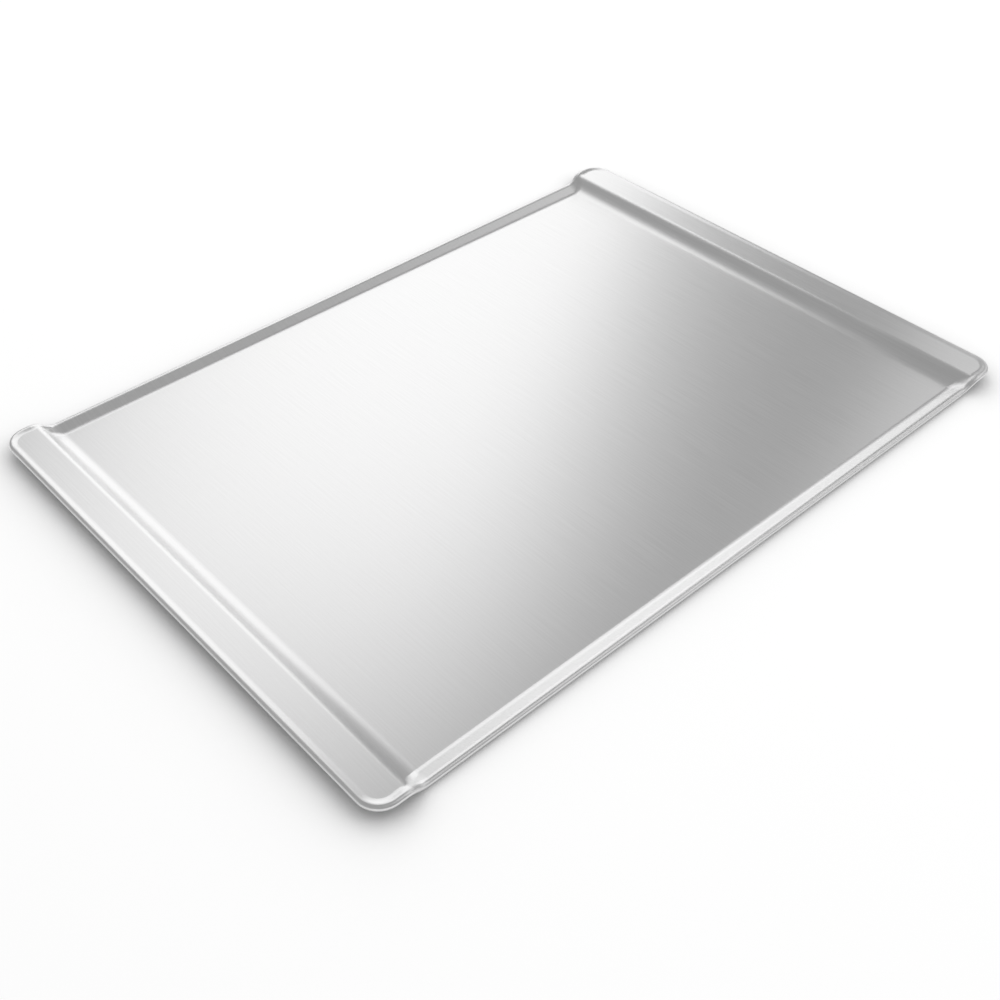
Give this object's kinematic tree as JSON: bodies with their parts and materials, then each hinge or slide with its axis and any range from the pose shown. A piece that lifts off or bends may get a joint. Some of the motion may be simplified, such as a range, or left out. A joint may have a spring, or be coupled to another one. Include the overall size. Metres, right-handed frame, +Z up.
{
  "type": "cookie sheet",
  "caption": "Flat brushed steel cookie sheet with low sloping walls, a curled wired rim, and a raised handle flange at each short end.",
  "frame": {"origin": "middle of the flat underside, on the surface that the sheet rests on", "axes": "+X along the long side towards a handle flange, +Y across to a long side, +Z up out of the baking face"},
  "size_m": [0.508, 0.3612, 0.0097],
  "materials": {
    "sheet_steel": "satin, brushed parallel to the short sides",
    "wire_steel": "drawn wire, hidden in the rim"
  },
  "bodies": {
    "root": {"formed_sheet": "sheet_steel", "rim_wire": "wire_steel"}
  },
  "joints": []
}
